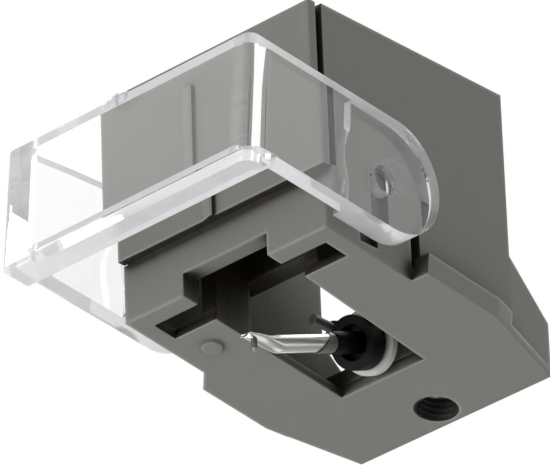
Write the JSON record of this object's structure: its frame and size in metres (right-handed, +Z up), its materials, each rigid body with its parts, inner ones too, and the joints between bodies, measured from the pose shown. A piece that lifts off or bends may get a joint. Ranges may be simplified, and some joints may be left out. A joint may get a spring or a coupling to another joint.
{
  "type": "turntable stylus cartridge",
  "caption": "Replacement stylus assembly for a turntable cartridge: moulded push-on holder, clear flip-down guard and sprung cantilever with a diamond tip.",
  "frame": {"origin": "middle of the holder's mouth, in the plane of its top rim", "axes": "+Z up as on a record player, -Y towards the stylus end, +X to the right seen from behind"},
  "size_m": [0.0154, 0.0221, 0.0149],
  "materials": {
    "holder_plastic": "fine satin grey moulding",
    "guard_clear": "clear polished acrylic",
    "damper_rubber": "black rubber",
    "magnet_grey": "dark grey sintered magnet",
    "sleeve_white": "white plastic",
    "pipe_brass": "drawn brass",
    "wire_steel": "drawn steel wire",
    "cantilever_alloy": "bright drawn tube",
    "collar_dull": "dull grey metal sleeve",
    "shank_steel": "dark steel",
    "diamond": "ground diamond"
  },
  "bodies": {
    "holder": {"holder": "holder_plastic", "sleeve": "sleeve_white", "joint_pipe": "pipe_brass", "tie_wire": "wire_steel", "wire_crimp": "pipe_brass"},
    "guard": {"guard": "guard_clear"},
    "damper": {"damper": "damper_rubber", "magnet_left": "magnet_grey", "magnet_right": "magnet_grey"},
    "cantilever": {"cantilever": "cantilever_alloy", "collar": "collar_dull", "bush": "damper_rubber", "stylus_shank": "shank_steel", "stylus_diamond": "diamond"}
  },
  "joints": [
    {"name": "guard_flip", "type": "hinge", "parent": "holder", "child": "guard", "pos_m": [0, -0.00346, -0.00835], "axis": [1, 0, 0], "range_deg": [0, 60]},
    {"name": "cantilever_lateral", "type": "hinge", "parent": "holder", "child": "damper", "pos_m": [0, 0.00234, -0.01175], "axis": [0, 0, 1], "range_deg": [-4, 4], "stiffness_Nm_per_rad": 0.004},
    {"name": "cantilever_vertical", "type": "hinge", "parent": "damper", "child": "cantilever", "pos_m": [0, 0.00234, -0.01175], "axis": [1, 0, 0], "range_deg": [-6, 2], "stiffness_Nm_per_rad": 0.004}
  ]
}
